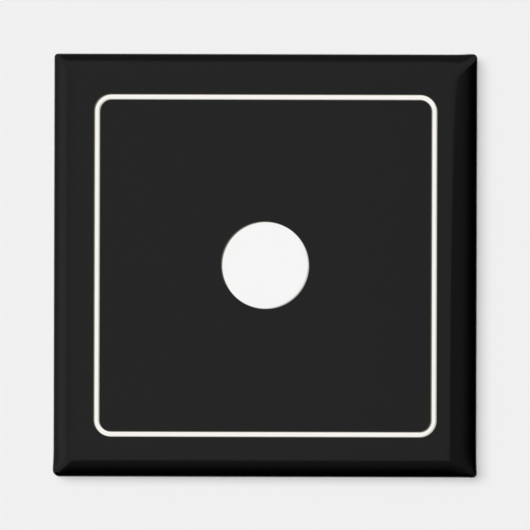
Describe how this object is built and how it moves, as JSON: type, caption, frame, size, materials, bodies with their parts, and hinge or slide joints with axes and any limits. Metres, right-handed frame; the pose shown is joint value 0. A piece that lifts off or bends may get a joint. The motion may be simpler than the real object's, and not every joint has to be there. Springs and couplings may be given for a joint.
{
  "type": "domino tile",
  "caption": "Square single-pip domino tile: black printed face with a white border line and centre pip under clear film, pressed tinplate shell, flexible magnet back.",
  "frame": {"origin": "centre of the magnet sheet's resting face, at the bottom of the tile", "axes": "+Z out of the printed face, through the thickness; +Y to the top of the printed design; +X to its right"},
  "size_m": [0.051, 0.0509, 0.0048],
  "materials": {
    "clear_film": "clear gloss polyester film",
    "printed_paper": "black ink on white paper, the border line and pip left white",
    "tinplate": "bare satin tinplate",
    "adhesive": "pale translucent transfer adhesive",
    "magnet_rubber": "matte ferrite-filled rubber"
  },
  "bodies": {
    "root": {"clear_film": "clear_film", "printed_face": "printed_paper", "front_shell": "tinplate", "back_plate": "tinplate", "adhesive_layer": "adhesive", "magnet_sheet": "magnet_rubber"}
  },
  "joints": []
}
